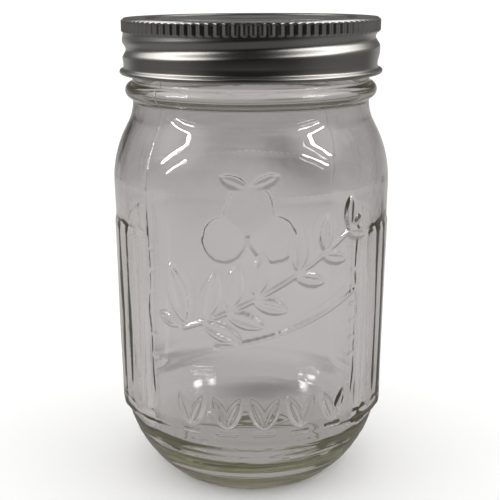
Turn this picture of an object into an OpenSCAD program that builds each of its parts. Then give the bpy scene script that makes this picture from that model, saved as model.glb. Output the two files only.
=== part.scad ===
// Regular-mouth pint canning jar with a two-piece cap: a pressed flat lid and a rolled screw band.
// Millimetres. The jar stands on z = 0, its axis is the Z axis and its front faces -Y.

/* [Glass body] */
// Largest radius of the glass, at the shoulder
body_r = 38.9; // [38.6:0.1:39.4]
// Radius of the side wall where the heel begins
heel_top_r = 37.7; // [37.4:0.1:38]
// Height of the widest ring of the shoulder
shoulder_z = 86; // [84:0.5:88]
// Radius of the shoulder's outward curve, seen in section
shoulder_arc = 31.3; // [30:0.1:33]
// Angle through which the shoulder turns in towards the neck
shoulder_turn = 27; // [25:1:28]
// Thickness of the side wall
wall = 2.7; // [2.2:0.1:3]
// Height of the inside floor above the table
floor_z = 6; // [5:0.5:7]

/* [Heel and base] */
// Radius of the heel's long upper curve
heel_arc = 34; // [33:1:36]
// Radius of the heel's short lower curve
toe_arc = 4; // [3:0.5:6]
// Angle through which the long curve turns
heel_turn = 50; // [46:1:52]
// Width of the flat ring that the jar stands on
foot_w = 2.2; // [1.5:0.1:3]
// Depth of the hollow under the base
push_up = 2; // [1:0.5:2.5]

/* [Side grips] */
// Height at which the raised side grips start
grip_z0 = 19; // [18.5:0.1:22]
// Height at which the raised side grips end
grip_z1 = 76; // [70:0.5:78]
// Angle that each side grip covers
grip_span = 88; // [60:1:90]
// Height of a grip above the wall at its lower end
grip_low_rise = 0.65; // [0.5:0.05:0.8]
// Height of a grip above the wall at its upper end
grip_rise = 0.35; // [0.3:0.05:0.6]
// Number of vertical ribs on each grip
rib_count = 5; // [4:1:8]

/* [Finish] */
// Outer radius of the neck and of the wall behind the thread
finish_r = 33; // [32.9:0.05:33.1]
// Inner radius of the mouth
mouth_r = 30; // [29.5:0.1:30.2]
// Height of the glass rim
rim_z = 129.4; // [129:0.1:129.8]
// Height of the middle of the bead under the band
bead_z = 111.2; // [110.8:0.1:111.4]
// Radius of the bead, seen in section
bead_arc = 2.3; // [2:0.1:2.4]
// Outer radius of the glass thread
thread_r = 34.95; // [34.7:0.05:35]
// Rise of the thread in one turn
pitch = 6.35; // [6.2:0.05:6.5]
// Angle covered by the glass thread
thread_span = 408; // [360:6:420]

/* [Flat lid] */
// Radius of the flat lid
lid_r = 33.95; // [33.7:0.05:34]
// Thickness of the tinplate
sheet = 0.25; // [0.2:0.01:0.28]
// Depth of the lid's turned-down edge
lid_skirt = 1.1; // [0.9:0.1:1.2]
// Depth of the step inside the lid's sealing channel
lid_step = 0.8; // [0.6:0.1:0.9]
// Thickness of the sealing compound
seal_t = 0.6; // [0.5:0.05:0.6]

/* [Screw band] */
// Height of the screw band
band_h = 15.1; // [14.8:0.1:15.3]
// Radius of the opening in the band's top
band_open_r = 29.3; // [29:0.1:29.6]
// Radius over the ribs of the knurled grip
knurl_r = 35.7; // [35.65:0.05:36]
// Number of ribs round the knurled grip
knurl_count = 100; // [90:2:120]
// Outer radius of the wall between the turns of the rolled groove, half-way up
band_r = 35.65; // [35.62:0.01:35.7]
// Depth of the rolled groove
groove_depth = 1.1; // [0.9:0.05:1.15]
// Half of the groove's width
groove_half_w = 2.4; // [2.2:0.05:2.5]
// Outer radius of the rolled hem at the bottom
hem_r = 36.45; // [36.45:0.05:36.7]
// Radius of the hem, seen in section
hem_arc = 0.72; // [0.68:0.01:0.72]

/* [Hidden] */
$fn = 96;
EMBED = 0.5; // how far a raised detail reaches into the wall behind it

// Cap heights, worked up from the glass rim
lid_top_z = rim_z + seal_t + sheet;
cap_z = lid_top_z + 0.1 + sheet;
band_z = cap_z - band_h;
knurl_depth = 0.45;
knurl_z1 = cap_z - 0.7;
knurl_z0 = cap_z - 3.7;

// Heights on the jar's right (+X) of the rolled groove and of the glass thread, which rise anticlockwise
groove_z = cap_z - 5.3;
thread_z = groove_z - pitch / 2 - 0.25;
GROOVE_FROM = -380; // azimuths of the ends, counted along the helix
GROOVE_TO = 20;
GROOVE_FADE = 30;
THREAD_FROM = -210;
THREAD_FADE = 24;
THREAD_HALF_W = 1.75;

// Points on an arc about c, from angle a0 to a1
function arc(c, r, a0, a1, n = 8) = [for (i = [0:n]) let (a = a0 + (a1 - a0) * i / n) c + r * [cos(a), sin(a)]];
// A shallow dome's points from the axis, h above z, out and down to the radius r
function dome(r, z, h, n = 6) =
    let (big = (r * r + h * h) / (2 * h), half = asin(r / big))
    [for (i = [0:n]) [big * sin(half * i / n), z + h - big * (1 - cos(half * i / n))]];

// Outside of the glass from the foot up to the neck
function outer_body() =
    let (
        heel_z = toe_arc + (heel_arc - toe_arc) * sin(heel_turn),
        heel_c = [heel_top_r - heel_arc, heel_z],
        toe_c = heel_c + (heel_arc - toe_arc) * [cos(heel_turn), -sin(heel_turn)],
        foot_r = toe_c[0],
        fillet = 6.5,
        end = shoulder_end(shoulder_arc),
        fillet_z = end[1] + (end[0] - neck_start(fillet, finish_r)) / tan(shoulder_turn)
    )
    concat(
        dome(foot_r - foot_w, 0, push_up),
        arc(toe_c, toe_arc, -90, -heel_turn, 5),
        arc(heel_c, heel_arc, -heel_turn, 0, 10),
        arc([body_r - shoulder_arc, shoulder_z], shoulder_arc, 0, shoulder_turn, 8),
        arc([finish_r + fillet, fillet_z + fillet * sin(shoulder_turn)], fillet, 180 + shoulder_turn, 180, 4)
    );

// Where the shoulder's curve of radius r ends, and the radius at which a neck fillet starts
function shoulder_end(r) =
    [body_r - shoulder_arc, shoulder_z] + r * [cos(shoulder_turn), sin(shoulder_turn)];
function neck_start(fillet, r) = r + fillet * (1 - cos(shoulder_turn));

// Bead, finish wall and rim, outside and in
function finish() =
    let (round_out = 1.4, round_in = 1)
    concat(
        arc([finish_r - 0.25, bead_z], bead_arc, -83, 83, 10),
        arc([finish_r - round_out, rim_z - round_out], round_out, 0, 90, 4),
        arc([mouth_r + round_in, rim_z - round_in], round_in, 90, 180, 3)
    );

// Inside of the glass from the neck down to the middle of the floor
function inner_body() =
    let (
        r = shoulder_arc - wall,
        fillet = 9.6,
        end = shoulder_end(r),
        start_z = end[1] + (end[0] - neck_start(fillet, mouth_r)) / tan(shoulder_turn),
        side_r = heel_top_r - wall + 0.1,
        big = 22,
        small = 8,
        turn = 60,
        heel_z = floor_z + small + (big - small) * sin(turn),
        heel_c = [side_r - big, heel_z],
        toe_c = heel_c + (big - small) * [cos(turn), -sin(turn)]
    )
    concat(
        arc([mouth_r + fillet, start_z + fillet * sin(shoulder_turn)], fillet, 180, 180 + shoulder_turn, 4),
        arc([body_r - shoulder_arc, shoulder_z], r, shoulder_turn, 0, 8),
        arc(heel_c, big, 0, -turn, 8),
        arc(toe_c, small, -turn, -90, 5),
        [[0, floor_z + 0.8]]
    );

// Height at the azimuth az of a helix that passes +X at the height z
function helix(z, az) = z + pitch * az / 360;
// 0 outside the span, 1 inside it, with a smooth rise of the given width at each end
function fade(a, from, to, width) =
    let (t = max(0, min(1, min(a - from, to - a) / width))) (1 - cos(180 * t)) / 2;

// How far the groove dips in at an azimuth and a height, from 0 to 1
function dip(azimuth, z) =
    max([for (turn = [0:2])
        let (az = azimuth - 360 * turn, off = abs(z - helix(groove_z, az)))
        off >= groove_half_w ? 0
            : fade(az, GROOVE_FROM, GROOVE_TO, GROOVE_FADE) * (1 + cos(180 * off / groove_half_w)) / 2]);

// Faces of a grid of points whose rows are closed loops; wrap joins the last row to the first
function grid_faces(rows, cols, wrap) =
    [for (i = [0:rows - (wrap ? 1 : 2)], j = [0:cols - 1])
        let (row = i * cols, next = ((i + 1) % rows) * cols, k = (j + 1) % cols)
        each [[row + j, row + k, next + k], [row + j, next + k, next + j]]];

// Raised helical thread of the glass, its back buried in the finish wall
module glass_thread() {
    steps = ceil(thread_span / 12);
    shape = 6;
    cols = shape + 2;
    foot_r = finish_r - 0.3;
    points = [for (i = [0:steps])
        let (
            az = THREAD_FROM + thread_span * i / steps,
            rise = (thread_r - foot_r) * fade(az, THREAD_FROM, THREAD_FROM + thread_span, THREAD_FADE)
        )
        for (k = [0:cols - 1])
            let (
                x = 2 * k / shape - 1,
                r = k > shape ? foot_r - EMBED : foot_r + rise * (1 + cos(180 * x)) / 2,
                z = helix(thread_z, az) + (k > shape ? 0 : THREAD_HALF_W * x)
            )
            [r * cos(az), r * sin(az), z]];
    polyhedron(
        points,
        concat(
            grid_faces(steps + 1, cols, false),
            [[for (k = [cols - 1:-1:0]) k]],
            [[for (k = [0:cols - 1]) steps * cols + k]]
        )
    );
}

// One raised side grip with its ribs, centred on the azimuth
module side_grip(azimuth) {
    low_r = heel_top_r;
    high_r = body_r - 0.3;
    rib_span = 6;
    chamfer = 1.9;
    low_edge_r = low_r + grip_low_rise;
    section = [
        [low_edge_r - chamfer - 1, grip_z0 - 0.5],
        [low_edge_r - chamfer, grip_z0],
        [low_edge_r, grip_z0 + 2.4],
        [high_r + grip_rise, grip_z1 - 1],
        [high_r - EMBED, grip_z1 + 0.5]
    ];
    rib_rise = 0.2;
    rib_section = [for (p = section) p + [rib_rise, 0]];
    rotate_extrude(angle = grip_span, start = azimuth - grip_span / 2) polygon(section);
    for (i = [0:rib_count - 1]) {
        middle = azimuth + grip_span * ((i + 0.5) / rib_count - 0.5);
        rotate_extrude(angle = rib_span, start = middle - rib_span / 2) polygon(rib_section);
    }
}

// Pressed glass jar: one piece with its bead, thread and grips
module jar() color([0.82, 0.85, 0.8, 0.45]) {
    rotate_extrude() polygon(concat(outer_body(), finish(), inner_body()));
    side_grip(0);
    side_grip(180);
    glass_thread();
}

// Pressed tinplate disc with a sealing channel, a stepped panel and a domed button
module flat_lid() color("gainsboro") {
    channel_r = 30.45;
    panel_r = 26.5;
    button_r = 9;
    top = [
        [lid_r, lid_top_z - lid_skirt],
        [lid_r, lid_top_z - 0.4],
        [lid_r - 0.4, lid_top_z],
        [channel_r, lid_top_z],
        [channel_r - 0.5, lid_top_z - lid_step],
        [panel_r + 1, lid_top_z - lid_step],
        [panel_r, lid_top_z - 0.1],
        [button_r + 1, lid_top_z],
        [button_r, lid_top_z + 0.3],
        [0, lid_top_z + 0.3]
    ];
    inward = [-sheet, 0];
    under = concat(
        [[0, lid_top_z + 0.3 - sheet]],
        [for (i = [8:-1:2]) top[i] - [0, sheet]],
        [top[1] + inward, top[0] + inward]
    );
    rotate_extrude() polygon(concat(top, under));
}

// Ring of soft sealing compound in the lid's channel, resting on the glass rim
module seal_ring() color("lightgray") {
    inner_r = 30.7;
    outer_r = 33.45;
    rotate_extrude() polygon([
        [inner_r, rim_z + seal_t],
        [inner_r, rim_z + 0.2],
        [inner_r + 0.2, rim_z],
        [outer_r - 0.4, rim_z],
        [outer_r, rim_z + 0.4],
        [outer_r, rim_z + seal_t]
    ]);
}

// Top flange of the band, curved over into the grip
module band_top() {
    corner = 1;
    inner_corner = corner - sheet;
    edge_r = knurl_r - knurl_depth - 0.1;
    c = [edge_r - corner, cap_z - corner];
    rotate_extrude() polygon(concat(
        [[band_open_r, cap_z - sheet], [band_open_r, cap_z]],
        arc(c, corner, 90, 0, 4),
        [[edge_r, knurl_z0 + 1], [edge_r - sheet, knurl_z0 + 1]],
        arc(c, inner_corner, 0, 90, 4)
    ));
}

// Knurled grip round the top of the band
module band_knurl() {
    inner_r = knurl_r - 1.1;
    translate([0, 0, knurl_z0]) linear_extrude(knurl_z1 - knurl_z0) difference() {
        polygon([for (i = [0:2 * knurl_count - 1])
            (knurl_r - (i % 2) * knurl_depth) * [cos(180 * i / knurl_count), sin(180 * i / knurl_count)]]);
        circle(inner_r);
    }
}

// Wall of the band with its rolled helical groove, from inside the grip down into the hem
module band_wall() {
    sides = 90;
    rows = 12;
    neck_in = 0.5; // the wall steps in under the grip by this much
    bow = 0.33; // and bows out between its ends by this much
    bow_z = cap_z - 8.2;
    bow_half_h = 3.8;
    wall_t = sheet * 1.1;
    top_z = knurl_z0 + 1.2;
    end_z = band_z + hem_arc;
    function wall_r(az, z, row) =
        row < 2 ? band_r - neck_in
            : row == rows ? hem_r - hem_arc
            : band_r - bow * min(1, pow((z - bow_z) / bow_half_h, 2)) - groove_depth * dip(az, z);
    points = [for (face = [0:1], i = [0:rows])
        let (row = face == 0 ? i : rows - i, z = top_z + (end_z - top_z) * row / rows)
        for (j = [0:sides - 1])
            let (az = 360 * j / sides, r = wall_r(az, z, row) - face * wall_t)
            [r * cos(az), r * sin(az), z]];
    polyhedron(points, grid_faces(2 * (rows + 1), sides, true));
}

// Rolled hem round the bottom of the band
module band_hem() rotate_extrude() translate([hem_r - hem_arc, band_z + hem_arc]) circle(hem_arc, $fn = 24);

// Rolled tinplate screw band: flange, knurled grip, grooved wall and hem in one piece
module screw_band() color("silver") {
    band_top();
    band_knurl();
    band_wall();
    band_hem();
}

jar();
flat_lid();
seal_ring();
screw_band();
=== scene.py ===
import math

import bpy
import numpy as np
from mathutils import Matrix, Vector


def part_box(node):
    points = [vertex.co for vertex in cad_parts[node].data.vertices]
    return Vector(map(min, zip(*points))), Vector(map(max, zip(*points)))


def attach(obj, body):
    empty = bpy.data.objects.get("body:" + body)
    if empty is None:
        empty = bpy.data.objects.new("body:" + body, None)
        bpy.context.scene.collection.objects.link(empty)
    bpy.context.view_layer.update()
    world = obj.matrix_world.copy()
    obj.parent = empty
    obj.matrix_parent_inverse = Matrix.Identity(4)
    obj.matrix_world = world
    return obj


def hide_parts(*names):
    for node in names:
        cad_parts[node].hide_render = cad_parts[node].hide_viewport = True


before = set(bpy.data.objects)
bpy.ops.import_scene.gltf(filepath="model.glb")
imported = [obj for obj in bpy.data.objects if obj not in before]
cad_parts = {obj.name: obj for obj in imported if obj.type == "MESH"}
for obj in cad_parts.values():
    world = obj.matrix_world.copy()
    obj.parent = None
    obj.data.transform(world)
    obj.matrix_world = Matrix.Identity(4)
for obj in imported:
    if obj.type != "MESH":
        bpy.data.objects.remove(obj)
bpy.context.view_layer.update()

MM = 0.001  # the outlines below are in millimetres

# ---------------------------------------------------------------------------------------------
# Sizes, in millimetres and degrees, the same as the CAD model's except where a comment says so.
# Heights of the cap come from model.glb.
# ---------------------------------------------------------------------------------------------
RIM_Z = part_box("jar")[1].z / MM
CAP_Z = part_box("screw_band")[1].z / MM
BAND_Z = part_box("screw_band")[0].z / MM
LID_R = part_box("flat_lid")[1].x / MM
LID_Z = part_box("seal_ring")[1].z / MM  # underside of the lid's channel
SEAL_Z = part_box("seal_ring")[0].z / MM

BODY_R, HEEL_TOP_R, WALL = 38.9, 37.7, 2.7
SHOULDER_Z, SHOULDER_ARC, SHOULDER_TURN = 86.0, 31.3, 27.0
FLOOR_Z, PUSH_UP, FOOT_W = 6.0, 2.0, 2.2
HEEL_ARC, TOE_ARC, HEEL_TURN = 34.0, 4.0, 50.0
HEEL_Z = TOE_ARC + (HEEL_ARC - TOE_ARC) * math.sin(math.radians(HEEL_TURN))  # the side wall starts here
INNER_HEEL_ARC, INNER_TOE_ARC, INNER_HEEL_TURN = 22.0, 8.0, 60.0
NECK_FILLET, INNER_NECK_FILLET = 12.0, 9.6  # softer than the CAD's outer fillet of 6.5
FINISH_R, MOUTH_R, THREAD_R = 33.0, 30.0, 34.95
BEAD_Z, BEAD_ARC = 111.2, 2.3
GRIP_Z0, GRIP_Z1, GRIP_HALF = 19.0, 76.0, 44.0
GRIP_LOW_RISE, GRIP_RISE, GRIP_CHAMFER = 0.65, 0.35, 1.9
RIB_COUNT, RIB_RISE = 5, 0.16
PITCH = 6.35
SHEET = 0.25
KNURL_R, KNURL_DEPTH, KNURL_COUNT = 35.7, 0.45, 100
BAND_R, BAND_BOW, BOW_Z, BOW_HALF_H = 35.65, 0.33, CAP_Z - 8.2, 3.8
GROOVE_DEPTH, GROOVE_HALF_W = 1.1, 2.4
HEM_R, HEM_ARC = 36.45, 0.72
OPEN_R = 29.3
GROOVE_Z = CAP_Z - 5.3  # height of the rolled groove on the +X side
GROOVE_FROM, GROOVE_TO, GROOVE_FADE = -380, 20, 30  # azimuths that the groove runs between
THREAD_Z, THREAD_HALF_W = GROOVE_Z - PITCH / 2 - 0.25, 1.75
THREAD_FROM, THREAD_TO, THREAD_FADE = -210, 198, 24
SEAMS = (-136.0, 44.0)  # azimuths of the mould seams, which the CAD leaves out
RELIEF_R = 38.2  # wall radius that turns azimuths into lengths round the jar
FINE_STEP, FINE_TOP_Z = 0.52, 87.6  # height of one row of the fine grid, and where the grid ends
FRONT_HALF, BACK_HALF = 53, 34  # half of the azimuths that the front and back reliefs cover
PANEL_HALF_W, TICK_S = 30.8, 29.4  # side lines of the front panel, and middle of the ticks beside them


# ---------------------------------------------------------------------------------------------
# Curves and surfaces of revolution
# ---------------------------------------------------------------------------------------------
def arc(centre, r, a0, a1, n):
    """n + 1 points (radius, height) on an arc about centre, from angle a0 to a1 in degrees."""
    a = np.radians(np.linspace(a0, a1, n + 1))
    return np.column_stack([centre[0] + r * np.cos(a), centre[1] + r * np.sin(a)])


def line(p, q, n):
    """n + 1 points from p to q."""
    return np.linspace(p, q, n + 1)


def path(*parts):
    """One outline from several, without doubled points."""
    points = np.concatenate([np.atleast_2d(p) for p in parts])
    apart = np.linalg.norm(np.diff(points, axis=0), axis=1) > 1e-4
    return points[np.concatenate([[True], apart])]


def smooth(x):
    """Smooth step from 0 at x = 0 to 1 at x = 1."""
    t = np.clip(x, 0, 1)
    return t * t * (3 - 2 * t)


def bump(x):
    """Smooth hump, 1 at x = 0 and 0 from |x| = 1 on."""
    return np.where(np.abs(x) < 1, (1 + np.cos(np.pi * np.clip(x, -1, 1))) / 2, 0.0)


def wrapped(angle):
    """Angle in degrees, brought to -180..180."""
    return (angle + 180) % 360 - 180


def helix(z, azimuth):
    """Height at an azimuth of a right-hand helix that passes +X at the height z."""
    return z + PITCH * azimuth / 360


def helix_weight(azimuth, z, start_z, half_w, first, last, fade):
    """How strongly a helical form is present at a point, from 0 to 1."""
    most = np.zeros(np.broadcast(azimuth, z).shape)
    for turn in range(-3, 3):
        along = azimuth + 360 * turn
        ends = smooth(np.minimum(along - first, last - along) / fade)
        most = np.maximum(most, ends * bump((z - helix(start_z, along)) / half_w))
    return most


def ring_points(radius, z, azimuth):
    """Points in metres of one ring; radius and z may vary round it."""
    a = np.radians(azimuth)
    z = np.broadcast_to(z, a.shape)
    return np.column_stack([radius * np.cos(a), radius * np.sin(a), z]) * MM


def add_mesh(name, verts, faces):
    """A smooth-shaded mesh object."""
    mesh = bpy.data.meshes.new(name)
    mesh.from_pydata(verts.tolist(), [], faces)
    mesh.shade_smooth()
    obj = bpy.data.objects.new(name, mesh)
    bpy.context.scene.collection.objects.link(obj)
    return obj


def quads(start, following, count):
    """Faces between two rings of count points each."""
    j = np.arange(count)
    k = (j + 1) % count
    return np.column_stack([start + j, start + k, following + k, following + j]).tolist()


def fans(coarse, fine, picks, fine_count, flip):
    """Faces between a coarse ring and a fine ring; picks says which fine point each coarse point meets."""
    faces = []
    n = len(picks)
    for i in range(n):
        a, b = coarse + i, coarse + (i + 1) % n
        first = picks[i]
        last = picks[(i + 1) % n] if i + 1 < n else fine_count
        chain = [fine + j % fine_count for j in range(first, last + 1)]
        middle = len(chain) // 2
        tris = [[a, chain[j + 1], chain[j]] for j in range(middle)]
        tris.append([a, b, chain[middle]])
        tris += [[b, chain[j + 1], chain[j]] for j in range(middle, len(chain) - 1)]
        faces += [t[::-1] for t in tris] if flip else tris
    return faces


def lathe(name, rings, closed, poles=()):
    """A surface through equal rings; closed joins the last to the first, poles are heights on the axis."""
    count = len(rings[0])
    verts = np.concatenate(rings)
    starts = [i * count for i in range(len(rings))]
    faces = []
    for a, b in zip(starts, starts[1:] + starts[:1] if closed else starts[1:]):
        faces += quads(a, b, count)
    verts, faces = add_poles(verts, faces, [(starts[0], count), (starts[-1], count)], poles)
    return add_mesh(name, verts, faces)


def add_poles(verts, faces, ends, poles):
    """Closes the first and last ring with a fan to a point on the axis."""
    for (start, count), z, first in zip(ends, poles, (True, False)):
        tip = len(verts)
        verts = np.concatenate([verts, [[0, 0, z * MM]]])
        for j in range(count):
            a, b = start + j, start + (j + 1) % count
            faces.append([tip, b, a] if first else [a, b, tip])
    return verts, faces


# ---------------------------------------------------------------------------------------------
# Relief on the glass: heights in millimetres over the wall, on (s, z), s running round the jar
# ---------------------------------------------------------------------------------------------
def leaf_height(s, z, root, angle, length, width, height=0.8, midrib=0.4):
    """An almond leaf from its root, pointing along angle in degrees, with a grooved midrib."""
    a = math.radians(angle)
    along = (s - root[0]) * math.cos(a) + (z - root[1]) * math.sin(a) - length / 2
    across = -(s - root[0]) * math.sin(a) + (z - root[1]) * math.cos(a)
    r = (length**2 + width**2) / (4 * width)
    offset = r - width / 2
    inside = np.minimum(r - np.hypot(along, across + offset), r - np.hypot(along, across - offset))
    vein = midrib * np.exp(-((across / 0.45) ** 2)) * smooth((length / 2 - np.abs(along)) / 1.5)
    return smooth(inside / 0.55) * (height - vein)


def stroke_height(s, z, points, width, height=0.45):
    """A rounded raised stroke along a list of points."""
    nearest = np.full(np.broadcast(s, z).shape, 1e9)
    for p, q in zip(points[:-1], points[1:]):
        d = np.subtract(q, p)
        t = np.clip(((s - p[0]) * d[0] + (z - p[1]) * d[1]) / (d @ d), 0, 1)
        nearest = np.minimum(nearest, np.hypot(s - p[0] - t * d[0], z - p[1] - t * d[1]))
    return height * smooth((width / 2 + 0.2 - nearest) / 0.5)


def curve_points(start, control, end, n=14):
    """Points on a quadratic curve."""
    t = np.linspace(0, 1, n + 1)[:, None]
    return (1 - t) ** 2 * np.array(start) + 2 * t * (1 - t) * np.array(control) + t**2 * np.array(end)


def branch_height(s, z):
    """The big relief on the front: a leafy branch that rises to the right, with a long blade under it."""
    stem = curve_points((-19.0, 52.0), (2.0, 60.0), (31.0, 80.0))
    height = stroke_height(s, z, stem, 1.1, 0.6)
    leaves = 6
    for i in range(leaves):
        t = (i + 0.7) / leaves
        root = stem[round(t * (len(stem) - 1))]
        lean = 24 + 14 * t
        size = 14.5 - 5.0 * t
        height = np.maximum(height, leaf_height(s, z, root, lean + 52, size, size * 0.42))
        lower = root - [1.2, 0.4]
        height = np.maximum(height, leaf_height(s, z, lower, lean - 48, size * 0.86, size * 0.36))
    height = np.maximum(height, leaf_height(s, z, stem[0] - [1.0, 0.0], 158, 8.0, 3.4))
    height = np.maximum(height, leaf_height(s, z, stem[0] + [0.5, 1.0], 105, 17.0, 6.6))
    blade = curve_points((-10.0, 47.5), (11.0, 51.2), (30.0, 60.4))
    return np.maximum(height, stroke_height(s, z, blade, 0.9, 0.5))


def sprout_row_height(s, z):
    """A row of five plain sprouts near the heel, each two leaves in a V over a short bar."""
    height = np.zeros(np.broadcast(s, z).shape)
    root_z, foot_z, foot_half_w = 24.0, 23.0, 2.4
    for i in range(5):
        middle = -17.5 + 10.2 * i
        for angle in (112, 68):
            height = np.maximum(height, leaf_height(s, z, (middle, root_z), angle, 10.0, 3.4))
        foot = [(middle - foot_half_w, foot_z), (middle + foot_half_w, foot_z)]
        height = np.maximum(height, stroke_height(s, z, foot, 1.0, 0.6))
    return height


def fruit_height(s, z):
    """The relief on the back: three round fruits under a pair of leaves."""
    height = np.zeros(np.broadcast(s, z).shape)
    for centre, r in (((-8.6, 58.5), 8.4), ((8.6, 58.5), 8.4), ((0.0, 67.5), 8.8)):
        inside = r - np.hypot(s - centre[0], z - centre[1])
        dome = smooth(inside / 0.6) * (0.55 + 0.3 * np.sqrt(np.clip(inside / r, 0, 1)))
        height = np.maximum(height, dome)
    height = np.maximum(height, leaf_height(s, z, (0.0, 75.0), 24, 11.0, 4.6))
    return np.maximum(height, leaf_height(s, z, (0.0, 75.0), 156, 11.0, 4.6))


def grip_height(azimuth, z):
    """Raised side panels on +X and -X with vertical ribs."""
    off = np.abs(wrapped(azimuth))
    off = np.minimum(off, 180 - off)  # angle from the nearer side, 0 to 90
    flank = np.clip((z - GRIP_Z0) / 2.4, 0, 1)
    low_edge = HEEL_TOP_R + GRIP_LOW_RISE - GRIP_CHAMFER * (1 - flank)
    wall = HEEL_TOP_R - HEEL_ARC + np.sqrt(HEEL_ARC**2 - np.minimum(z - HEEL_Z, 0) ** 2)
    up = np.clip((z - HEEL_Z) / (GRIP_Z1 - HEEL_Z), 0, 1)
    tapered = GRIP_LOW_RISE + (GRIP_RISE - GRIP_LOW_RISE) * up
    rise = np.where(z < HEEL_Z, np.maximum(low_edge - wall, 0), tapered)
    ends = smooth((z - GRIP_Z0) / 0.6) * smooth((GRIP_Z1 + 0.5 - z) / 2.5)
    flank_w = 3.4 + 5.0 * np.clip((HEEL_Z - z) / 8, 0, 1)
    height = rise * smooth((GRIP_HALF - off) / flank_w) * ends
    signed = wrapped(azimuth)
    signed = np.where(np.abs(signed) > 90, wrapped(signed - 180), signed)
    spacing = 2 * GRIP_HALF / RIB_COUNT
    for i in range(RIB_COUNT):
        middle = -GRIP_HALF + spacing * (i + 0.5)
        height = height + RIB_RISE * smooth((4.6 - np.abs(signed - middle)) / 3.4) * ends
    return height


def tick_height(s, z):
    """Two ladders of short plain ticks beside the front panel, like measuring marks."""
    height = np.zeros(np.broadcast(s, z).shape)
    half_w, lowest = 0.9, 42.0
    for side, step in ((-1, 6.0), (1, 4.8)):
        for i in range(6):
            level = lowest + step * i
            tick = [(side * TICK_S - half_w, level), (side * TICK_S + half_w, level)]
            height = np.maximum(height, stroke_height(s, z, tick, 0.8, 0.22))
    return height


def seam_height(azimuth, z):
    """The fine line that the two halves of the mould leave down the glass."""
    height = 0.0
    for seam in SEAMS:
        height = height + 0.1 * bump(wrapped(azimuth - seam) / 0.55)
    return height * smooth((z - 78) / 4)


def outer_waviness(azimuth, z):
    """The slow unevenness of pressed glass, outside."""
    a = np.radians(azimuth)
    return 0.035 * (np.sin(3 * a + z / 9) + np.sin(5 * a - z / 14 + 1.3) + 0.6 * np.sin(2 * a + z / 5.5))


def inner_waviness(azimuth, z):
    """The slow unevenness of pressed glass, inside, where it is larger."""
    a = np.radians(azimuth)
    slow = np.sin(2 * a + z / 17 + 0.4) + 0.7 * np.sin(3 * a - z / 11) + 0.5 * np.sin(5 * a + z / 8 + 2)
    return 0.13 * slow


def heel_ripple(azimuth, z):
    """Fine chill rings in the outer heel, where the hot glass met the cold mould."""
    a = np.radians(azimuth)
    rings = np.sin(z * 2.6 + 0.8 * np.sin(2 * a)) + 0.7 * np.sin(z * 1.5 - 0.9 * np.sin(3 * a + 1))
    rings = rings + np.cos(a) ** 2 * (np.sin(11 * a + z / 3) + 0.7 * np.sin(19 * a - z / 5))
    return 0.055 * rings * smooth((z - 0.8) / 2) * smooth((18.5 - z) / 6)


def inner_heel_ripple(azimuth, z):
    """Broader rings in the inner heel, left by the plunger."""
    a = np.radians(azimuth)
    rings = np.sin(z * 1.15 + 0.7 * np.sin(a + 0.5)) + 0.6 * np.sin(z * 2.1 + np.sin(3 * a))
    rings = rings + np.cos(a) ** 2 * (1.1 * np.sin(13 * a + z / 4) + 0.9 * np.sin(23 * a - z / 3))
    return 0.12 * rings * smooth((z - FLOOR_Z - 0.6) / 2.5) * smooth((30 - z) / 8)


def panel_edge_height(s, z):
    """A thin raised line down each side of the front panel."""
    wander = 0.35 * np.sin(z / 6.5) + 0.2 * np.sin(z / 2.9 + 1)
    line_height = 0.2 * bump((np.abs(s) - PANEL_HALF_W - wander) / 0.75)
    return line_height * smooth((z - 27) / 6) * smooth((84 - z) / 6)


def relief(azimuth, z):
    """Everything that stands out from the side wall."""
    s = np.radians(wrapped(azimuth + 90)) * RELIEF_R
    s_back = np.radians(wrapped(azimuth - 90)) * -RELIEF_R
    marks = np.maximum(branch_height(s, z), sprout_row_height(s, z))
    marks = np.maximum(marks, tick_height(s, z))
    marks = np.maximum(marks, panel_edge_height(s, z))
    marks = np.where(np.abs(s) < 36, marks, 0)
    fruit = np.where(np.abs(s_back) < 26, fruit_height(s_back, z), 0)
    return marks + fruit + grip_height(azimuth, z) + outer_waviness(azimuth, z) + seam_height(azimuth, z)


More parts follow.
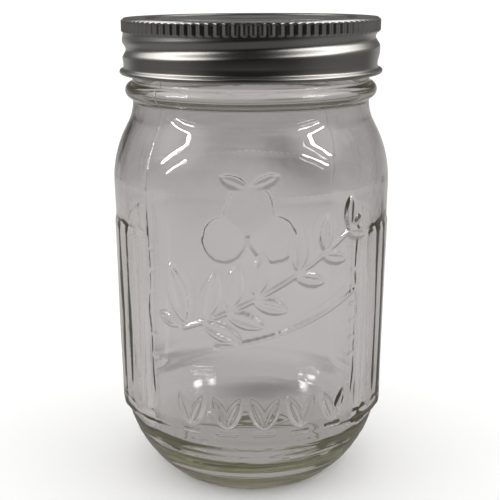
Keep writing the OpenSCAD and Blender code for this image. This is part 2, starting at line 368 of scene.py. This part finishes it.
# ---------------------------------------------------------------------------------------------
# Glass jar
# ---------------------------------------------------------------------------------------------
def glass_outlines():
    """Outline under the relief zone, in it and above it, and the inner outline from the rim down."""
    turn = math.radians(SHOULDER_TURN)
    heel = math.radians(HEEL_TURN)
    heel_c = np.array([HEEL_TOP_R - HEEL_ARC, HEEL_Z])
    toe_c = heel_c + (HEEL_ARC - TOE_ARC) * np.array([math.cos(heel), -math.sin(heel)])
    foot_r = toe_c[0]
    shoulder_c = np.array([BODY_R - SHOULDER_ARC, SHOULDER_Z])

    def neck(r, fillet, wall_r):
        """Fillet from the shoulder's straight flank into the neck."""
        end = shoulder_c + r * np.array([math.cos(turn), math.sin(turn)])
        z = end[1] + (end[0] - wall_r - fillet * (1 - math.cos(turn))) / math.tan(turn)
        return (wall_r + fillet, z + fillet * math.sin(turn))

    dome_r = foot_r - FOOT_W
    dome_x = np.linspace(0.8, dome_r, 12)
    under = np.column_stack([dome_x, PUSH_UP * (1 - (dome_x / dome_r) ** 2)])
    heel_curve = arc(heel_c, HEEL_ARC, -HEEL_TURN, 0, 40)
    side = line((HEEL_TOP_R, heel_c[1]), (BODY_R, SHOULDER_Z), 4)
    shoulder = arc(shoulder_c, SHOULDER_ARC, 0, SHOULDER_TURN, 24)
    body = path(heel_curve, side, shoulder)
    base = path(
        under,
        line((dome_r, 0.25), (dome_r + 0.4, 0), 1),
        line((dome_r + 0.4, 0), (foot_r, 0), 2),
        arc(toe_c, TOE_ARC, -90, -HEEL_TURN, 8),
        arc(heel_c, HEEL_ARC, -HEEL_TURN, -14, 30),
    )
    neck_c = neck(SHOULDER_ARC, NECK_FILLET, FINISH_R)
    top = path(
        arc(shoulder_c, SHOULDER_ARC, 3, SHOULDER_TURN, 18),
        arc(neck_c, NECK_FILLET, 180 + SHOULDER_TURN, 180, 8),
        arc((FINISH_R - 0.25, BEAD_Z), BEAD_ARC, -78, 78, 20),
        line((FINISH_R, BEAD_Z + 2.6), (FINISH_R, RIM_Z - 1.4), 32),
        arc((FINISH_R - 1.4, RIM_Z - 1.4), 1.4, 0, 90, 8),
        arc((MOUTH_R + 1, RIM_Z - 1), 1, 90, 180, 6),
    )
    drop = math.radians(INNER_HEEL_TURN)
    across = INNER_HEEL_ARC - INNER_TOE_ARC
    side_r = HEEL_TOP_R - WALL + 0.1
    inner_heel = np.array([side_r - INNER_HEEL_ARC, FLOOR_Z + INNER_TOE_ARC + across * math.sin(drop)])
    inner_toe = inner_heel + across * np.array([math.cos(drop), -math.sin(drop)])
    neck_c = neck(SHOULDER_ARC - WALL, INNER_NECK_FILLET, MOUTH_R)
    inner = path(
        line((MOUTH_R, RIM_Z - 3), (MOUTH_R, 111), 8),
        arc(neck_c, INNER_NECK_FILLET, 180, 180 + SHOULDER_TURN, 10),
        arc(shoulder_c, SHOULDER_ARC - WALL, SHOULDER_TURN, 0, 14),
        line((BODY_R - WALL, SHOULDER_Z), inner_heel + [INNER_HEEL_ARC, 0], 16),
        arc(inner_heel, INNER_HEEL_ARC, 0, -INNER_HEEL_TURN, 24),
        arc(inner_toe, INNER_TOE_ARC, -INNER_HEEL_TURN, -90, 8),
        line((inner_toe[0], FLOOR_Z), (0.8, FLOOR_Z + 0.8), 8),
    )
    return base, body, top, inner


def glass_columns():
    """Azimuths of the coarse rings, of the fine rings, and which fine points the coarse points meet."""
    coarse = set(np.arange(-180.0, 180.0, 3.0))
    for seam in SEAMS:
        coarse |= {round(seam + d, 3) for d in (-0.55, -0.28, 0.0, 0.28, 0.55)}
    coarse = np.array(sorted(coarse))
    fine, picks = [], []
    for a, b in zip(coarse, np.append(coarse[1:], coarse[0] + 360)):
        middle = (a + b) / 2
        front = abs(wrapped(middle + 90)) < FRONT_HALF
        back = abs(wrapped(middle - 90)) < BACK_HALF
        parts = 6 if front else 4 if back else 3
        if b - a < 1:
            parts = 1
        picks.append(len(fine))
        fine += [a + (b - a) * i / parts for i in range(parts)]
    return coarse, np.array(fine), picks


def make_jar():
    """The glass as one closed skin, outside and inside, with a fine grid where the relief is."""
    base, body, top, inner = glass_outlines()
    coarse, fine, picks = glass_columns()
    fine_z0 = base[-1][1]
    rings = []
    for r, z in base[:-1]:
        rings.append((False, ring_points(r + heel_ripple(coarse, z), z, coarse)))
    levels = np.linspace(fine_z0, FINE_TOP_Z, round((FINE_TOP_Z - fine_z0) / FINE_STEP) + 1)
    height = relief(fine[None, :], levels[:, None])
    height *= smooth((levels - fine_z0) / 1.0)[:, None] * smooth((FINE_TOP_Z - levels) / 2.0)[:, None]
    for z, h in zip(levels, height):
        rings.append((True, ring_points(np.interp(z, body[:, 1], body[:, 0]) + h, z, fine)))
    crest = top[:, 1] > BEAD_Z + 2.5
    outside = int(np.argmax(top[:, 1]))
    for i, (r, z) in enumerate(top):
        if z <= FINE_TOP_Z:
            continue
        h = seam_height(coarse, z) * (i < outside)
        if crest[i] and i < outside:
            weight = helix_weight(coarse, z, THREAD_Z, THREAD_HALF_W, THREAD_FROM, THREAD_TO, THREAD_FADE)
            h = h + (THREAD_R - FINISH_R) * weight
        rings.append((False, ring_points(r + h, z, coarse)))
    for r, z in inner:
        calm = smooth((RIM_Z - 4 - z) / 14) * smooth((z - FLOOR_Z - 1) / 8)
        h = calm * inner_waviness(coarse, z) + inner_heel_ripple(coarse, z)
        rings.append((False, ring_points(r + h, z, coarse)))
    starts = np.cumsum([0] + [len(p) for _, p in rings])[:-1].tolist()
    verts = np.concatenate([p for _, p in rings])
    faces = []
    for i in range(len(rings) - 1):
        is_fine, next_fine = rings[i][0], rings[i + 1][0]
        if is_fine == next_fine:
            faces += quads(starts[i], starts[i + 1], len(rings[i][1]))
        elif next_fine:
            faces += fans(starts[i], starts[i + 1], picks, len(fine), False)
        else:
            faces += fans(starts[i + 1], starts[i], picks, len(fine), True)
    ends = [(starts[0], len(coarse)), (starts[-1], len(coarse))]
    verts, faces = add_poles(verts, faces, ends, (PUSH_UP, FLOOR_Z + 0.8))
    return add_mesh("glass_jar", verts, faces)


# ---------------------------------------------------------------------------------------------
# Screw band
# ---------------------------------------------------------------------------------------------
def bowed_wall_r(z):
    """Outer radius of the band's wall between the turns of the groove, a little wider half-way up."""
    return BAND_R - BAND_BOW * min(1.0, ((z - BOW_Z) / BOW_HALF_H) ** 2)


def band_outline():
    """The sheet's outer face from the top opening, over the grip and down to the hem, in seven stretches."""
    corner_r = KNURL_R - 0.45
    corner = arc((corner_r - 0.55, CAP_Z - 0.55), 0.55, 90, 25, 5)
    flange = line((OPEN_R, CAP_Z - 0.12), (OPEN_R + 2.2, CAP_Z), 3)
    grip = line((KNURL_R, CAP_Z - 0.6), (KNURL_R, CAP_Z - 3.5), 11)
    under_grip = [(KNURL_R - 0.36, CAP_Z - 3.75), (KNURL_R - 0.4, CAP_Z - 3.95)]
    wall = [(bowed_wall_r(z), z) for z in np.linspace(CAP_Z - 4.2, BAND_Z + 1.9, 30)]
    flare = [(BAND_R - 0.27, BAND_Z + 1.7), (BAND_R - 0.12, BAND_Z + 1.5)]
    hem = arc((HEM_R - HEM_ARC, BAND_Z + HEM_ARC), HEM_ARC, 80, -200, 16)
    return flange, corner, grip, under_grip, wall, flare, hem


def make_band():
    """The rolled band as a closed skin of sheet metal."""
    flange, corner, grip, under_grip, wall, flare, hem = band_outline()
    per_rib = 8
    azimuth = np.arange(KNURL_COUNT * per_rib) * 360 / (KNURL_COUNT * per_rib)
    flutes = (1 - np.cos(np.radians(azimuth * KNURL_COUNT))) / 2  # 0 on a rib, 1 in a flute

    def groove(z):
        ends = GROOVE_FROM, GROOVE_TO, GROOVE_FADE
        return GROOVE_DEPTH * helix_weight(azimuth, z, GROOVE_Z, GROOVE_HALF_W, *ends)

    def knurl(z):
        return KNURL_DEPTH * flutes * smooth((CAP_Z - 0.5 - z) / 0.4)

    still = np.zeros(len(azimuth))
    outer = [(r + still, z) for r, z in path(flange, corner)]
    outer += [(r - knurl(z), z) for r, z in grip]
    outer += [(r + still, z) for r, z in under_grip]
    outer += [(r - groove(z), z) for r, z in wall]
    outer += [(r + still, z) for r, z in path(flare, hem)]
    inner_wall = [(bowed_wall_r(z), z) for z in np.linspace(BAND_Z + 1.9, CAP_Z - 4.2, 18)]
    inner = [(r - SHEET - groove(z), z) for r, z in inner_wall]
    inner += [(KNURL_R - SHEET - 0.6 + still, CAP_Z - 3.6)]
    behind_grip = line((KNURL_R - 0.5, CAP_Z - 3.4), (KNURL_R - 0.5, CAP_Z - 1.1), 4)
    inner += [(r - SHEET + still, z) for r, z in behind_grip]
    inner += [(r + still, z) for r, z in arc((KNURL_R - 1.5, CAP_Z - 0.95), 0.7, 10, 90, 4)]
    inner += [(OPEN_R + 2.2 + still, CAP_Z - SHEET), (OPEN_R + 0.02 + still, CAP_Z - SHEET - 0.1)]
    rings = [ring_points(r, z, azimuth) for r, z in outer + inner]
    return lathe("rolled_screw_band", rings, True)


# ---------------------------------------------------------------------------------------------
# Flat lid and sealing compound
# ---------------------------------------------------------------------------------------------
def lid_top_outline():
    """The lid's upper face from the turned-down edge in to the button."""
    top = LID_Z + SHEET
    return path(
        line((LID_R, top - 1.1), (LID_R, top - 0.45), 2),
        arc((LID_R - 0.45, top - 0.45), 0.45, 0, 90, 5),
        line((LID_R - 0.6, top), (30.75, top), 5),
        arc((30.7, top - 0.3), 0.3, 90, 150, 3),
        arc((29.7, top - 0.5), 0.3, -30, -90, 3),
        line((29.4, top - 0.8), (27.9, top - 0.8), 3),
        arc((27.6, top - 0.4), 0.4, -90, -150, 3),
        line((27.0, top - 0.35), (26.5, top - 0.1), 3),
        line((26.3, top - 0.06), (22.6, top - 0.02), 5),
        [(22.2 + 0.5 * math.cos(a), top + 0.12 * math.sin(a)) for a in np.linspace(0, math.pi, 5)],
        line((21.4, top), (10.4, top), 8),
        [(x, top + 0.3 * float(smooth((10 - x) / 1.6))) for x in np.linspace(10.0, 0.7, 14)],
    )


def offset_down(points, t):
    """An outline moved inside its sheet by the thickness t, square to itself."""
    d = np.gradient(points, axis=0)
    d /= np.linalg.norm(d, axis=1)[:, None]
    return points + t * np.column_stack([-d[:, 1], d[:, 0]])


def make_lid():
    """The pressed lid, and how many of its first faces are the enamelled underside."""
    upper = lid_top_outline()
    lower = offset_down(upper, SHEET)[::-1]
    lower = np.maximum(lower, [0.7, 0])
    azimuth = np.arange(0, 360, 2.0)
    rings = [ring_points(r + np.zeros(len(azimuth)), z, azimuth) for r, z in np.concatenate([lower, upper])]
    pole = LID_Z + SHEET + 0.3
    lid = lathe("pressed_flat_lid", rings, False, (pole - SHEET, pole))
    below = (len(lower) - 1) * len(azimuth)
    return lid, below


def make_seal():
    """The flowed-in ring of sealing compound."""
    outline = path(
        line((30.75, SEAL_Z + 0.6), (33.4, SEAL_Z + 0.6), 6),
        arc((33.15, SEAL_Z + 0.3), 0.27, 60, -90, 6),
        line((33.0, SEAL_Z), (31.0, SEAL_Z), 8),
        arc((31.0, SEAL_Z + 0.3), 0.28, -90, -220, 6),
    )
    azimuth = np.arange(0, 360, 2.0)
    rings = [ring_points(r + np.zeros(len(azimuth)), z, azimuth) for r, z in outline[::-1]]
    return lathe("flowed_seal_ring", rings, True)


# ---------------------------------------------------------------------------------------------
# Materials
# ---------------------------------------------------------------------------------------------
def new_material(name):
    """An empty node material with its principled shader and its output."""
    material = bpy.data.materials.new(name)
    material.use_nodes = True
    tree = material.node_tree
    return material, tree, tree.nodes["Principled BSDF"], tree.nodes["Material Output"]


def add_node(tree, kind, **settings):
    """A node with its properties and its unlinked inputs set."""
    node = tree.nodes.new(kind)
    for key, value in settings.items():
        if hasattr(node, key):
            setattr(node, key, value)
        else:
            node.inputs[key.replace("_", " ")].default_value = value
    return node


def stretched_noise(tree, scale, stretch, detail=3.0):
    """Noise in object space, with each axis scaled by stretch."""
    where = add_node(tree, "ShaderNodeTexCoord")
    mapping = add_node(tree, "ShaderNodeMapping")
    mapping.inputs["Scale"].default_value = stretch
    noise = add_node(tree, "ShaderNodeTexNoise", Scale=scale, Detail=detail)
    tree.links.new(where.outputs["Object"], mapping.inputs["Vector"])
    tree.links.new(mapping.outputs["Vector"], noise.inputs["Vector"])
    return noise.outputs["Fac"]


def map_range(tree, value, low, high):
    """A 0-1 value spread over low to high."""
    node = add_node(tree, "ShaderNodeMapRange")
    node.inputs["To Min"].default_value = low
    node.inputs["To Max"].default_value = high
    tree.links.new(value, node.inputs["Value"])
    return node.outputs["Result"]


def calculate(tree, operation, *values):
    """A math node on links or numbers."""
    node = add_node(tree, "ShaderNodeMath", operation=operation)
    for socket, value in zip(node.inputs, values):
        if isinstance(value, (int, float)):
            socket.default_value = value
        else:
            tree.links.new(value, socket)
    return node.outputs[0]


def ramp(tree, value, from_low, from_high, low, high):
    """A smooth ramp from low to high."""
    node = add_node(tree, "ShaderNodeMapRange", interpolation_type="SMOOTHSTEP")
    for name, number in zip(("From Min", "From Max", "To Min", "To Max"), (from_low, from_high, low, high)):
        node.inputs[name].default_value = number
    tree.links.new(value, node.inputs["Value"])
    return node.outputs["Result"]


def bump_of(tree, height, distance, strength=1.0):
    """A bump normal."""
    node = add_node(tree, "ShaderNodeBump", Strength=strength, Distance=distance)
    tree.links.new(height, node.inputs["Height"])
    return node.outputs["Normal"]


def glass_material():
    """Clear soda-lime glass: an olive tint with depth, a painted glow of olive light inside it, and a pressed
    surface's soft ripple.
    """
    material, tree, shader, output = new_material("soda_lime_glass")
    shader.inputs["Base Color"].default_value = (0.98, 0.98, 0.975, 1)
    shader.inputs["Transmission Weight"].default_value = 1.0
    shader.inputs["IOR"].default_value = 1.51
    ripple = stretched_noise(tree, 160.0, (1, 1, 0.7), 2.0)
    rough = map_range(tree, ripple, 0.0, 0.03)
    tree.links.new(rough, shader.inputs["Roughness"])
    tree.links.new(bump_of(tree, ripple, 0.0001, 0.5), shader.inputs["Normal"])
    depth = add_node(tree, "ShaderNodeVolumeAbsorption")
    depth.inputs["Color"].default_value = (0.56, 0.56, 0.38, 1)
    depth.inputs["Density"].default_value = 30.0
    # Painted glow: the glass volume emits olive light of its own, standing in for light caught in the thick
    # glass.
    painted_glow = add_node(tree, "ShaderNodeEmission", Color=(1.0, 0.96, 0.74, 1), Strength=2.4)
    both = add_node(tree, "ShaderNodeAddShader")
    tree.links.new(depth.outputs["Volume"], both.inputs[0])
    tree.links.new(painted_glow.outputs["Emission"], both.inputs[1])
    tree.links.new(both.outputs["Shader"], output.inputs["Volume"])
    return material


def tinplate_material(name, color, rough_low, rough_high):
    """Satin tinplate: fine rolling marks round the axis, uneven sheen and small dull smudges."""
    material, tree, shader, _ = new_material(name)
    shader.inputs["Metallic"].default_value = 1.0
    smudge = stretched_noise(tree, 70.0, (1, 1, 1), 4.0)
    lines = stretched_noise(tree, 30.0, (1, 1, 160), 3.0)
    grains = stretched_noise(tree, 2600.0, (1, 1, 1), 2.0)
    tint = add_node(tree, "ShaderNodeMix", data_type="RGBA")
    tint.inputs["A"].default_value = (*[c * 0.86 for c in color], 1)
    tint.inputs["B"].default_value = (*[min(1, c * 1.1) for c in color], 1)
    tree.links.new(smudge, tint.inputs["Factor"])
    tree.links.new(tint.outputs["Result"], shader.inputs["Base Color"])
    mixed = calculate(tree, "MULTIPLY_ADD", lines, 0.5, calculate(tree, "MULTIPLY", smudge, 0.5))
    tree.links.new(map_range(tree, mixed, rough_low, rough_high), shader.inputs["Roughness"])
    texture = calculate(tree, "ADD", lines, grains)
    tree.links.new(bump_of(tree, texture, 0.00002, 0.5), shader.inputs["Normal"])
    return material


def enamel_material():
    """White food-grade enamel with a soft orange-peel."""
    material, tree, shader, _ = new_material("white_enamel")
    peel = stretched_noise(tree, 900.0, (1, 1, 1), 2.0)
    tint = add_node(tree, "ShaderNodeMix", data_type="RGBA")
    tint.inputs["A"].default_value = (0.78, 0.77, 0.74, 1)
    tint.inputs["B"].default_value = (0.86, 0.85, 0.82, 1)
    tree.links.new(stretched_noise(tree, 60.0, (1, 1, 1), 3.0), tint.inputs["Factor"])
    tree.links.new(tint.outputs["Result"], shader.inputs["Base Color"])
    tree.links.new(map_range(tree, peel, 0.25, 0.4), shader.inputs["Roughness"])
    tree.links.new(bump_of(tree, peel, 0.00003, 0.4), shader.inputs["Normal"])
    return material


def compound_material():
    """Soft grey plastisol."""
    material, tree, shader, _ = new_material("sealing_compound")
    mottle = stretched_noise(tree, 500.0, (1, 1, 1), 4.0)
    tint = add_node(tree, "ShaderNodeMix", data_type="RGBA")
    tint.inputs["A"].default_value = (0.16, 0.16, 0.165, 1)
    tint.inputs["B"].default_value = (0.24, 0.24, 0.245, 1)
    tree.links.new(mottle, tint.inputs["Factor"])
    tree.links.new(tint.outputs["Result"], shader.inputs["Base Color"])
    tree.links.new(map_range(tree, mottle, 0.45, 0.65), shader.inputs["Roughness"])
    tree.links.new(bump_of(tree, mottle, 0.00004, 0.4), shader.inputs["Normal"])
    return material


# ---------------------------------------------------------------------------------------------
# Studio: camera, floor, world and lights
# ---------------------------------------------------------------------------------------------
def make_camera():
    """The camera in front of the jar, a little above its cap and looking down."""
    data = bpy.data.cameras.new("camera")
    data.sensor_width = 36
    data.lens = 73.1
    data.shift_x = 0.0344
    data.clip_start, data.clip_end = 0.01, 100
    camera = bpy.data.objects.new("camera", data)
    camera.location = (-0.0053, -0.2869, 0.1397)
    down, roll = 14.76, -0.35
    tilt = Matrix.Rotation(math.radians(90 - down), 3, "X")
    camera.rotation_mode = "QUATERNION"
    camera.rotation_quaternion = (tilt @ Matrix.Rotation(math.radians(roll), 3, "Z")).to_quaternion()
    bpy.context.scene.collection.objects.link(camera)
    bpy.context.scene.camera = camera


def chosen_by_ray(tree, seen, through, mirrored):
    """One shader out of three: what the eye sees, what shows through glass, and what shiny faces pick up."""
    rays = add_node(tree, "ShaderNodeLightPath")
    either = add_node(tree, "ShaderNodeMath", operation="MAXIMUM")
    inner = add_node(tree, "ShaderNodeMixShader")
    outer = add_node(tree, "ShaderNodeMixShader")
    tree.links.new(rays.outputs["Is Camera Ray"], either.inputs[0])
    tree.links.new(rays.outputs["Is Diffuse Ray"], either.inputs[1])
    tree.links.new(rays.outputs["Is Transmission Ray"], inner.inputs["Fac"])
    tree.links.new(mirrored, inner.inputs[1])
    tree.links.new(through, inner.inputs[2])
    tree.links.new(either.outputs[0], outer.inputs["Fac"])
    tree.links.new(inner.outputs["Shader"], outer.inputs[1])
    tree.links.new(seen, outer.inputs[2])
    return outer.outputs["Shader"]


THROUGH_COLOR = (1.0, 0.945, 0.985, 1)  # floor and sky through glass
MIRRORED_COLOR = (1.0, 0.985, 0.965, 1)  # floor and sky in shiny faces

# Soft painted shadows and darker patches in the floor as seen through glass: x, y, half sizes in metres, and
# how much darker the
# # middle is. A negative amount is brighter: painted glints, the two pairs of small glints low on the jar.
PAINTED_FLOOR_SHADOWS_AND_GLINTS = (
    (-0.036, 0.08, 0.034, 0.024, 0.42),
    (0.005, 0.043, 0.028, 0.014, 0.5),
    (0.034, 0.075, 0.016, 0.024, 0.25),
    (0.065, 0.58, 0.065, 0.32, 0.42),
    (-0.0182, 0.049, 0.0024, 0.009, -2.4),
    (-0.0135, 0.051, 0.002, 0.006, -1.8),
    (0.0192, 0.046, 0.0022, 0.009, -2.4),
    (0.0222, 0.051, 0.002, 0.005, -1.8),
)


def painted_floor_spot(tree, where, x, y, half_x, half_y, depth):
    """A factor that dims the floor softly inside an ellipse, by depth in its middle: a painted shadow; a
    negative depth brightens it into a painted glint.
    """
    mapping = add_node(tree, "ShaderNodeMapping")
    mapping.inputs["Scale"].default_value = (1 / half_x, 1 / half_y, 1)
    mapping.inputs["Location"].default_value = (-x / half_x, -y / half_y, 0)
    away = add_node(tree, "ShaderNodeVectorMath", operation="LENGTH")
    tree.links.new(where, mapping.inputs["Vector"])
    tree.links.new(mapping.outputs["Vector"], away.inputs[0])
    return ramp(tree, away.outputs["Value"], 0.0, 1.0, 1.0 - depth, 1.0)


def floor_through_glass(tree, where, distance):
    """Strength of the floor's glow seen through glass: uneven, with painted shade under and near the jar,
    darker far away, and with painted shadows and glints.
    """
    blotches = ramp(tree, stretched_noise(tree, 7.0, (1, 0.45, 1), 3.0), 0.3, 0.7, 0.92, 1.08)
    tone = ramp(tree, distance, 0.1, 0.8, 0.56, 0.35)
    # Painted shade: seen through glass the floor is darker under and near the jar, as if in the jar's shadow.
    under = ramp(tree, distance, 0.025, 0.05, 0.72, 0.9)
    shade = ramp(tree, distance, 0.06, 0.09, 0.0, 0.1)
    tone = calculate(tree, "MULTIPLY", tone, calculate(tree, "ADD", under, shade))
    # Painted shadows and painted glints in the floor's glow through glass.
    for spot in PAINTED_FLOOR_SHADOWS_AND_GLINTS:
        tone = calculate(tree, "MULTIPLY", tone, painted_floor_spot(tree, where, *spot))
    return calculate(tree, "MULTIPLY", blotches, tone)


def floor_in_mirrors(tree, where, distance):
    """Strength of the floor's glow in shiny faces, a painted reflection in place of the lit floor: dark in
    front, lighter near the jar, beside and behind it.
    """
    parts = add_node(tree, "ShaderNodeSeparateXYZ")
    tree.links.new(where, parts.inputs["Vector"])
    sideways = calculate(tree, "DIVIDE", calculate(tree, "ABSOLUTE", parts.outputs["X"]), distance)
    behind = calculate(tree, "DIVIDE", parts.outputs["Y"], distance)
    tone = ramp(tree, distance, 0.12, 0.6, 0.1, 0.004)
    tone = calculate(tree, "ADD", tone, ramp(tree, sideways, 0.5, 1.0, 0.0, 0.1))
    return calculate(tree, "ADD", tone, ramp(tree, behind, 0.5, 0.95, 0.0, 0.5))


def make_floor():
    """A wide pale floor; through glass and in reflections it shows a painted glow instead of its lit face, a
    softer tone for what shows through glass and a darker one for reflections.
    """
    size = 30.0
    verts = np.array([[-size, -size, 0], [size, -size, 0], [size, size, 0], [-size, size, 0]])
    floor = add_mesh("floor", verts, [[0, 1, 2, 3]])
    floor.location.z = -0.0002  # just under the jar's foot, so that the two faces don't meet
    material, tree, pale, output = new_material("pale_floor")
    pale.inputs["Base Color"].default_value = (0.95, 0.95, 0.95, 1)
    pale.inputs["Roughness"].default_value = 0.9
    pale.inputs["Specular IOR Level"].default_value = 0.1
    where = add_node(tree, "ShaderNodeTexCoord").outputs["Object"]
    away = add_node(tree, "ShaderNodeVectorMath", operation="LENGTH")
    tree.links.new(where, away.inputs[0])
    distance = away.outputs["Value"]
    through = add_node(tree, "ShaderNodeEmission", Color=THROUGH_COLOR)
    tree.links.new(floor_through_glass(tree, where, distance), through.inputs["Strength"])
    mirrored = add_node(tree, "ShaderNodeEmission", Color=MIRRORED_COLOR)
    tree.links.new(floor_in_mirrors(tree, where, distance), mirrored.inputs["Strength"])
    shader = chosen_by_ray(
        tree, pale.outputs["BSDF"], through.outputs["Emission"], mirrored.outputs["Emission"]
    )
    tree.links.new(shader, output.inputs["Surface"])
    material.cycles.emission_sampling = "NONE"
    floor.data.materials.append(material)


# Soft lobes of light that mirrors see: azimuth, elevation and radius in degrees, and strength
SKY_LOBES = (
    (-50, 32, 20, 0.6),
    (-72, 32, 27, 1.9),
    (-95, 32, 22, 0.8),
    (-118, 40, 26, 1.4),
    (180, 76, 27, 0.7),
    (45, 36, 20, 0.6),
    (66, 36, 27, 1.8),
    (88, 36, 22, 0.7),
    (112, 42, 26, 1.6),
)


def soft_lobe(tree, toward, azimuth, elevation, radius, strength):
    """A soft round light patch in the world, centred on a direction."""
    near = add_node(tree, "ShaderNodeVectorMath", operation="DOT_PRODUCT")
    near.inputs[1].default_value = direction(azimuth, elevation)
    tree.links.new(toward, near.inputs[0])
    return ramp(tree, near.outputs["Value"], math.cos(math.radians(radius)), 1.0, 0.0, strength)


def make_world():
    """White all round for the eye, grey through glass, and for reflections a dark studio with softboxes."""
    world = bpy.data.worlds.new("studio")
    world.use_nodes = True
    bpy.context.scene.world = world
    tree = world.node_tree
    white = tree.nodes["Background"]
    white.inputs["Color"].default_value = (1, 1, 1, 1)
    white.inputs["Strength"].default_value = 1.12
    toward = add_node(tree, "ShaderNodeTexCoord").outputs["Generated"]
    parts = add_node(tree, "ShaderNodeSeparateXYZ")
    tree.links.new(toward, parts.inputs["Vector"])
    through = add_node(tree, "ShaderNodeBackground", Color=THROUGH_COLOR)
    tree.links.new(ramp(tree, parts.outputs["Z"], 0.2, 0.5, 0.33, 0.1), through.inputs["Strength"])
    mirrored = add_node(tree, "ShaderNodeBackground", Color=MIRRORED_COLOR)
    tone = ramp(tree, parts.outputs["X"], 0.4, 1.0, 0.003, 0.22)
    tone = calculate(tree, "ADD", tone, ramp(tree, parts.outputs["X"], -0.4, -1.0, 0.0, 0.14))
    tone = calculate(tree, "ADD", tone, ramp(tree, parts.outputs["Y"], 0.5, 0.95, 0.0, 0.1))
    near_horizon = ramp(tree, parts.outputs["Z"], 0.0, 0.25, 1.0, 0.0)
    low_behind = calculate(tree, "MULTIPLY", parts.outputs["Y"], near_horizon)
    tone = calculate(tree, "ADD", tone, ramp(tree, low_behind, 0.5, 0.95, 0.0, 0.2))
    for lobe in SKY_LOBES:
        tone = calculate(tree, "ADD", tone, soft_lobe(tree, toward, *lobe))
    tree.links.new(tone, mirrored.inputs["Strength"])
    shader = chosen_by_ray(
        tree, white.outputs["Background"], through.outputs["Background"], mirrored.outputs["Background"]
    )
    tree.links.new(shader, tree.nodes["World Output"].inputs["Surface"])


def direction(azimuth, elevation):
    """Unit vector; azimuth 0 is the camera's side, positive to the right."""
    a, e = math.radians(azimuth), math.radians(elevation)
    return Vector((math.sin(a) * math.cos(e), -math.cos(a) * math.cos(e), math.sin(e)))


# Thin lamps: name, their two ends as azimuth and elevation, width in metres, and radiance
STRIPS = (
    ("left_strip", (-82, 14), (-65, 38), 0.022, 80),
    ("left_low_strip", (-75, 8), (-59, 24), 0.016, 60),
    ("right_strip", (74, 23), (58, 40), 0.022, 80),
    ("right_low_strip", (67, 16), (46, 31), 0.016, 60),
)
STRIP_DISTANCE = 0.8


def strip_light(name, low, high, width, radiance, lit):
    """A long thin lamp between two directions, facing the shoulder; it lights only the collection lit."""
    target = Vector((math.copysign(0.018, low[0]), -0.03, 0.098))
    a, b = (target + direction(*end) * STRIP_DISTANCE for end in (low, high))
    data = bpy.data.lights.new(name, "AREA")
    data.shape = "RECTANGLE"
    data.size, data.size_y = width, (b - a).length
    data.energy = radiance * math.pi * data.size * data.size_y
    lamp = bpy.data.objects.new(name, data)
    middle = (a + b) / 2
    back = (middle - target).normalized()
    along = (b - a).normalized()
    side = along.cross(back).normalized()
    turned = Matrix((side, back.cross(side), back)).transposed()
    lamp.matrix_world = Matrix.Translation(middle) @ turned.to_4x4()
    bpy.context.scene.collection.objects.link(lamp)
    lamp.light_linking.receiver_collection = lit


def make_lights(glass):
    """Two thin strip lamps each side, which draw the bright strokes on the glass."""
    lit = bpy.data.collections.new("lit_by_strips")
    lit.objects.link(glass)
    for strip in STRIPS:
        strip_light(*strip, lit)


# ---------------------------------------------------------------------------------------------
# Assembly
# ---------------------------------------------------------------------------------------------
def place(piece, body, node, slot, *materials):
    """A finished piece gets its materials, rides on its body and hides its CAD node, showing in its place."""
    for material in materials:
        piece.data.materials.append(material)
    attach(piece, body)
    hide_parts(node)


make_camera()
make_world()
make_floor()
bpy.context.scene.view_settings.view_transform = "Standard"

band_metal = tinplate_material("band_tinplate", (0.58, 0.57, 0.55), 0.24, 0.34)
lid_metal = tinplate_material("lid_tinplate", (0.64, 0.63, 0.62), 0.26, 0.38)

jar = make_jar()
place(jar, "jar", "jar", "glass", glass_material())
make_lights(jar)
place(make_band(), "band", "screw_band", "band_tinplate", band_metal)
lid, below = make_lid()
place(lid, "lid", "flat_lid", "lid_tinplate", lid_metal, enamel_material())
under = np.zeros(len(lid.data.polygons), dtype=np.int32)
under[:below] = 1
lid.data.polygons.foreach_set("material_index", under)
place(make_seal(), "lid", "seal_ring", "sealing_compound", compound_material())
